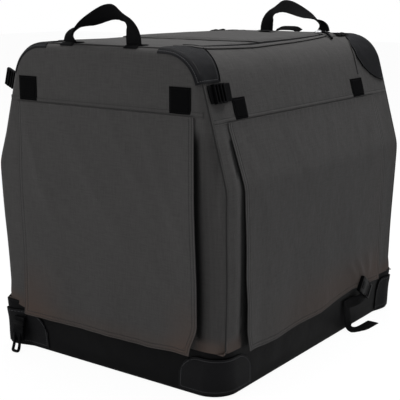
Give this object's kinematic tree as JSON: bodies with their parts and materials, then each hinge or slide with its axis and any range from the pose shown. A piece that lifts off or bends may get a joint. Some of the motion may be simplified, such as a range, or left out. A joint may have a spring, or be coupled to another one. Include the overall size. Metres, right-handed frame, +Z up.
{
  "type": "folding dog crate",
  "caption": "Folding soft-sided dog crate: canvas walls with roll-up flaps on a folding tube frame, a tarpaulin tub base and two webbing handles.",
  "frame": {"origin": "the middle of the tub's flat underside, on the floor", "axes": "+Z up, -Y out of the doorway at the front, +X to the right side seen from the front's viewer"},
  "size_m": [0.6529, 0.7871, 0.7779],
  "materials": {
    "canvas": "matte",
    "tarpaulin": "satin",
    "patch_cloth": "matte",
    "net": "matte",
    "webbing": "matte",
    "velcro": "matte",
    "coated_steel": "satin",
    "rivet_steel": "satin",
    "black_plastic": "satin",
    "floor_board": "matte",
    "fleece": "matte",
    "zip_metal": "satin"
  },
  "bodies": {
    "base": {"base_tub": "tarpaulin", "base_frame": "coated_steel", "floor_board": "floor_board", "floor_mat": "fleece", "front_left_corner_bracket": "black_plastic", "front_right_corner_bracket": "black_plastic", "rear_left_corner_bracket": "black_plastic", "rear_right_corner_bracket": "black_plastic", "front_left_tub_patch": "patch_cloth", "front_right_tub_patch": "patch_cloth", "rear_left_tub_patch": "patch_cloth", "rear_right_tub_patch": "patch_cloth", "front_wall": "canvas", "rear_wall": "canvas", "left_wall": "canvas", "right_wall": "canvas", "left_window_net": "net", "right_window_net": "net", "rear_window_net": "net", "front_left_base_strap": "webbing", "front_left_base_buckle": "black_plastic", "rear_right_base_strap": "webbing", "rear_right_base_buckle": "black_plastic"},
    "front_legs": {"front_left_leg": "coated_steel", "front_right_leg": "coated_steel", "front_left_elbow_pin": "rivet_steel", "front_right_elbow_pin": "rivet_steel"},
    "rear_legs": {"rear_left_leg": "coated_steel", "rear_right_leg": "coated_steel", "rear_left_elbow_pin": "rivet_steel", "rear_right_elbow_pin": "rivet_steel"},
    "front_hoop_body": {"front_hoop": "coated_steel"},
    "rear_hoop_body": {"rear_hoop": "coated_steel"},
    "roof": {"left_roof_rail": "coated_steel", "right_roof_rail": "coated_steel", "roof_panel": "canvas", "roof_net": "net", "front_left_shoulder_patch": "patch_cloth", "front_right_shoulder_patch": "patch_cloth", "rear_left_shoulder_patch": "patch_cloth", "rear_right_shoulder_patch": "patch_cloth"},
    "end_seams": {"front_left_velcro": "velcro", "front_right_velcro": "velcro", "rear_left_velcro": "velcro", "rear_right_velcro": "velcro"},
    "left_seam": {"left_near_velcro": "velcro", "left_far_velcro": "velcro", "left_top_buckle": "black_plastic"},
    "right_seam": {"right_near_velcro": "velcro", "right_far_velcro": "velcro", "right_top_buckle": "black_plastic"},
    "front_flap_body": {"front_flap": "canvas"},
    "rear_flap_body": {"rear_flap": "canvas"},
    "left_flap_body": {"left_flap": "canvas"},
    "right_flap_body": {"right_flap": "canvas"},
    "front_door": {"front_door_net": "net"},
    "roof_flap_body": {"roof_flap": "canvas"},
    "front_handle_body": {"front_handle": "webbing"},
    "rear_handle_body": {"rear_handle": "webbing"},
    "zip_slider": {"roof_zip_slider": "zip_metal"}
  },
  "joints": [
    {"name": "front_legs_fold", "type": "hinge", "parent": "base", "child": "front_legs", "pos_m": [0, -0.3555, 0.13], "axis": [-1, 0, 0], "range_deg": [0, 81], "deforming": ["front_wall", "rear_wall", "left_wall", "right_wall", "left_window_net", "right_window_net", "rear_window_net", "front_flap", "rear_flap", "left_flap", "right_flap", "front_door_net", "front_left_shoulder_patch", "front_right_shoulder_patch", "rear_left_shoulder_patch", "rear_right_shoulder_patch"]},
    {"name": "front_hoop_fold", "type": "hinge", "parent": "front_legs", "child": "front_hoop_body", "pos_m": [0, -0.36522, 0.4082], "axis": [1, 0, 0], "range_deg": [0, 162]},
    {"name": "roof_level", "type": "hinge", "parent": "front_hoop_body", "child": "roof", "pos_m": [0, -0.3555, 0.6864], "axis": [-1, 0, 0], "range_deg": [0, 81]},
    {"name": "rear_legs_fold", "type": "hinge", "parent": "base", "child": "rear_legs", "pos_m": [0, 0.3555, 0.13], "axis": [1, 0, 0], "range_deg": [0, 81]},
    {"name": "rear_hoop_fold", "type": "hinge", "parent": "rear_legs", "child": "rear_hoop_body", "pos_m": [0, 0.36522, 0.4082], "axis": [-1, 0, 0], "range_deg": [0, 162]},
    {"name": "end_seams_drop", "type": "slide", "parent": "base", "child": "end_seams", "axis": [0, 0, -1], "range_m": [0, 0.3551]},
    {"name": "left_seam_drop", "type": "slide", "parent": "base", "child": "left_seam", "axis": [-0.1735, 0, -0.9848], "range_m": [0, 0.4266]},
    {"name": "right_seam_drop", "type": "slide", "parent": "base", "child": "right_seam", "axis": [0.1735, 0, -0.9848], "range_m": [0, 0.4266]},
    {"name": "front_flap_lift", "type": "hinge", "parent": "end_seams", "child": "front_flap_body", "pos_m": [0, -0.37975, 0.5725], "axis": [-1, 0, 0], "range_deg": [0, 135]},
    {"name": "rear_flap_lift", "type": "hinge", "parent": "end_seams", "child": "rear_flap_body", "pos_m": [0, 0.37975, 0.5725], "axis": [1, 0, 0], "range_deg": [0, 135]},
    {"name": "right_flap_lift", "type": "hinge", "parent": "right_seam", "child": "right_flap_body", "pos_m": [0.27475, 0, 0.557], "axis": [0, -1, 0], "range_deg": [0, 120]},
    {"name": "left_flap_lift", "type": "hinge", "parent": "left_seam", "child": "left_flap_body", "pos_m": [-0.27475, 0, 0.557], "axis": [0, 1, 0], "range_deg": [0, 120]},
    {"name": "front_door_swing", "type": "hinge", "parent": "end_seams", "child": "front_door", "pos_m": [0, -0.37675, 0.5445], "axis": [1, 0, 0], "range_deg": [0, 80]},
    {"name": "roof_flap_lift", "type": "hinge", "parent": "roof", "child": "roof_flap_body", "pos_m": [0, 0.3, 0.7013], "axis": [-1, 0, 0], "range_deg": [0, 100]},
    {"name": "front_handle_swing", "type": "hinge", "parent": "roof", "child": "front_handle_body", "pos_m": [0, -0.37, 0.6982], "axis": [1, 0, 0], "range_deg": [-45, 45]},
    {"name": "rear_handle_swing", "type": "hinge", "parent": "roof", "child": "rear_handle_body", "pos_m": [0, 0.37, 0.6982], "axis": [-1, 0, 0], "range_deg": [-45, 45]},
    {"name": "zip_slide", "type": "slide", "parent": "roof", "child": "zip_slider", "axis": [0, -1, 0], "range_m": [-0.01, 0.5]}
  ],
  "couplings": [
    {"joint": "front_hoop_fold", "follows": "front_legs_fold", "ratio": 2},
    {"joint": "roof_level", "follows": "front_legs_fold", "ratio": 1},
    {"joint": "rear_legs_fold", "follows": "front_legs_fold", "ratio": 1},
    {"joint": "rear_hoop_fold", "follows": "front_legs_fold", "ratio": 2},
    {"joint": "end_seams_drop", "follows": "front_legs_fold", "m_per_rad": 0.25111},
    {"joint": "left_seam_drop", "follows": "front_legs_fold", "m_per_rad": 0.30167},
    {"joint": "right_seam_drop", "follows": "front_legs_fold", "m_per_rad": 0.30167}
  ]
}
